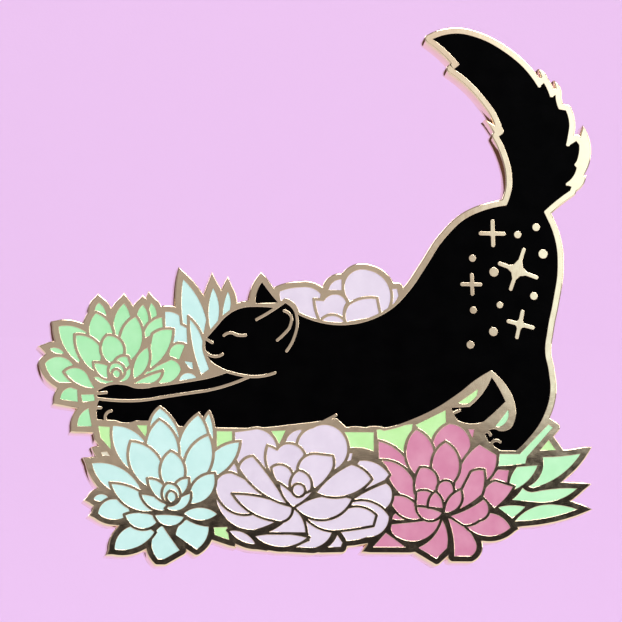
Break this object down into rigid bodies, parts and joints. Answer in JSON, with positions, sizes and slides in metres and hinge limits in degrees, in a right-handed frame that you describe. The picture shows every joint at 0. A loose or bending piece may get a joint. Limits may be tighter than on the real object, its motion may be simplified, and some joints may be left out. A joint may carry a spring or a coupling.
{
  "type": "enamel lapel pin",
  "caption": "Flat hard-enamel lapel pin of a stretching cat above succulents, with posts and pinch clutches on its back.",
  "frame": {"origin": "middle of the metal plate's flat back face", "axes": "+Y out of the back face along the posts, so the enamel faces -Y; +Z towards the picture's top; +X towards the picture's right seen from the front"},
  "size_m": [0.0496, 0.0108, 0.0484],
  "materials": {
    "plate_metal": "polished pale gold plating over die-struck metal",
    "enamel_black": "gloss black hard enamel",
    "enamel_aqua": "gloss pale aqua hard enamel",
    "enamel_lilac": "gloss pale lilac hard enamel",
    "enamel_pink": "gloss dusky pink hard enamel",
    "enamel_green": "gloss mint green hard enamel",
    "enamel_lime": "gloss pale lime hard enamel",
    "enamel_cream_tint": "gloss pale cream hard enamel",
    "solder": "soft solder, dull silver",
    "post_brass": "turned brass",
    "clutch_brass": "bright stamped brass"
  },
  "bodies": {
    "pin": {"base_plate": "plate_metal", "enamel_aqua_heart": "enamel_aqua", "enamel_aqua_inner": "enamel_aqua", "enamel_aqua_outer": "enamel_aqua", "enamel_lilac_heart": "enamel_lilac", "enamel_lilac_inner": "enamel_lilac", "enamel_lilac_outer": "enamel_lilac", "enamel_pink_heart": "enamel_pink", "enamel_pink_inner": "enamel_pink", "enamel_pink_outer": "enamel_pink", "enamel_cat": "enamel_black", "enamel_green_heart": "enamel_green", "enamel_green_inner": "enamel_green", "enamel_green_outer": "enamel_green", "enamel_spikes": "enamel_aqua", "enamel_back_lilac": "enamel_lilac", "enamel_leaves": "enamel_aqua", "enamel_moss": "enamel_lime", "enamel_cream": "enamel_cream_tint", "solder": "solder", "post_left": "post_brass", "post_right": "post_brass"},
    "eyelet_left": {"guide_eyelet_left": "clutch_brass"},
    "clutch_left": {"clutch_disc_left": "clutch_brass", "clutch_cap_left": "clutch_brass"},
    "wing_left_a": {"wing_left_a": "clutch_brass"},
    "wing_left_b": {"wing_left_b": "clutch_brass"},
    "eyelet_right": {"guide_eyelet_right": "clutch_brass"},
    "clutch_right": {"clutch_disc_right": "clutch_brass", "clutch_cap_right": "clutch_brass"},
    "wing_right_a": {"wing_right_a": "clutch_brass"},
    "wing_right_b": {"wing_right_b": "clutch_brass"}
  },
  "joints": [
    {"name": "clutch_slide_left", "type": "slide", "parent": "pin", "child": "eyelet_left", "axis": [0, 1, 0], "range_m": [0, 0.012]},
    {"name": "clutch_spin_left", "type": "hinge", "parent": "eyelet_left", "child": "clutch_left", "pos_m": [-0.012, 0.00245, -0.008], "axis": [0, 1, 0], "continuous": true},
    {"name": "wing_pinch_left_a", "type": "hinge", "parent": "clutch_left", "child": "wing_left_a", "pos_m": [-0.00945, 0.00565, -0.008], "axis": [0, 0, 1], "range_deg": [0, 12], "stiffness_Nm_per_rad": 0.0005},
    {"name": "wing_pinch_left_b", "type": "hinge", "parent": "clutch_left", "child": "wing_left_b", "pos_m": [-0.01455, 0.00565, -0.008], "axis": [0, 0, -1], "range_deg": [0, 12], "stiffness_Nm_per_rad": 0.0005},
    {"name": "clutch_slide_right", "type": "slide", "parent": "pin", "child": "eyelet_right", "axis": [0, 1, 0], "range_m": [0, 0.012]},
    {"name": "clutch_spin_right", "type": "hinge", "parent": "eyelet_right", "child": "clutch_right", "pos_m": [0.012, 0.00245, -0.008], "axis": [0, 1, 0], "continuous": true},
    {"name": "wing_pinch_right_a", "type": "hinge", "parent": "clutch_right", "child": "wing_right_a", "pos_m": [0.01455, 0.00565, -0.008], "axis": [0, 0, 1], "range_deg": [0, 12], "stiffness_Nm_per_rad": 0.0005},
    {"name": "wing_pinch_right_b", "type": "hinge", "parent": "clutch_right", "child": "wing_right_b", "pos_m": [0.00945, 0.00565, -0.008], "axis": [0, 0, -1], "range_deg": [0, 12], "stiffness_Nm_per_rad": 0.0005}
  ],
  "couplings": [
    {"joint": "wing_pinch_left_b", "follows": "wing_pinch_left_a", "ratio": 1},
    {"joint": "wing_pinch_right_b", "follows": "wing_pinch_right_a", "ratio": 1}
  ]
}
